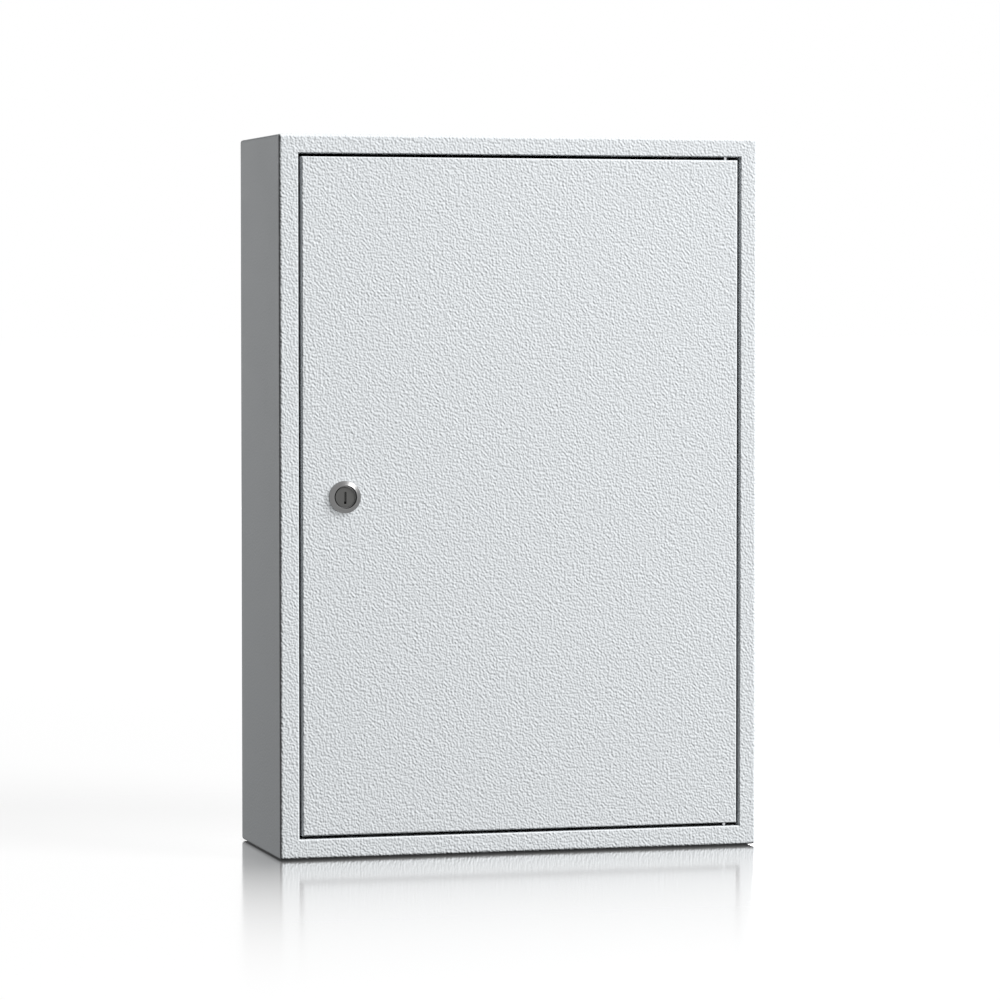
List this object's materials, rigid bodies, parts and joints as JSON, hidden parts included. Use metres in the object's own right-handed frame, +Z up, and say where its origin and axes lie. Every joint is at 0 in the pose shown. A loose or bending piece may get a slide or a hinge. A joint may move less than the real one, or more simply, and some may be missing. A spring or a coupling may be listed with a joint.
{
  "type": "key cabinet",
  "caption": "Wall key cabinet: folded steel case with an inset door on concealed pivots, a cam lock, and numbered hook bars that hang in slotted uprights.",
  "frame": {"origin": "middle of the base of the whole object, on the plane that it stands on", "axes": "+Z up, -Y out of the door's face, +Y into the wall, +X to the hinge side"},
  "size_m": [0.38, 0.145, 0.55],
  "materials": {
    "light_grey_powder_coat": "fine-textured light grey powder coat on steel sheet, smoother on the sides",
    "zinc_plate": "bright zinc plate on steel",
    "satin_nickel": "satin nickel plate on a die-cast lock housing",
    "plug_nickel": "dull dark nickel on the lock's plug",
    "black_nylon": "black nylon",
    "black_rubber": "black rubber"
  },
  "bodies": {
    "cabinet": {"case_shell": "light_grey_powder_coat", "upright_left": "zinc_plate", "upright_right": "zinc_plate", "hook_bar_01": "zinc_plate", "hook_bar_02": "zinc_plate", "hook_bar_03": "zinc_plate", "hook_bar_04": "zinc_plate", "hook_bar_05": "zinc_plate", "hook_bar_06": "zinc_plate", "hook_bar_07": "zinc_plate", "hook_bar_08": "zinc_plate", "hook_bar_09": "zinc_plate", "hook_bar_10": "zinc_plate", "pivot_bush_top": "black_nylon", "pivot_bush_bottom": "black_nylon", "door_bumper_top": "black_rubber", "door_bumper_bottom": "black_rubber"},
    "door": {"door_pan": "light_grey_powder_coat", "pivot_pin_top": "zinc_plate", "pivot_pin_bottom": "zinc_plate", "lock_housing": "satin_nickel", "lock_washer": "zinc_plate", "lock_nut": "zinc_plate"},
    "lock_cylinder": {"lock_plug": "plug_nickel", "lock_cam": "zinc_plate", "cam_washer": "zinc_plate", "cam_screw": "zinc_plate"}
  },
  "joints": [
    {"name": "door_hinge", "type": "hinge", "parent": "cabinet", "child": "door", "pos_m": [0.1653, -0.0625, 0.27525], "axis": [0, 0, 1], "range_deg": [0, 110]},
    {"name": "lock_turn", "type": "hinge", "parent": "door", "child": "lock_cylinder", "pos_m": [-0.1397, -0.0675, 0.27525], "axis": [0, 1, 0], "range_deg": [0, 90]}
  ]
}
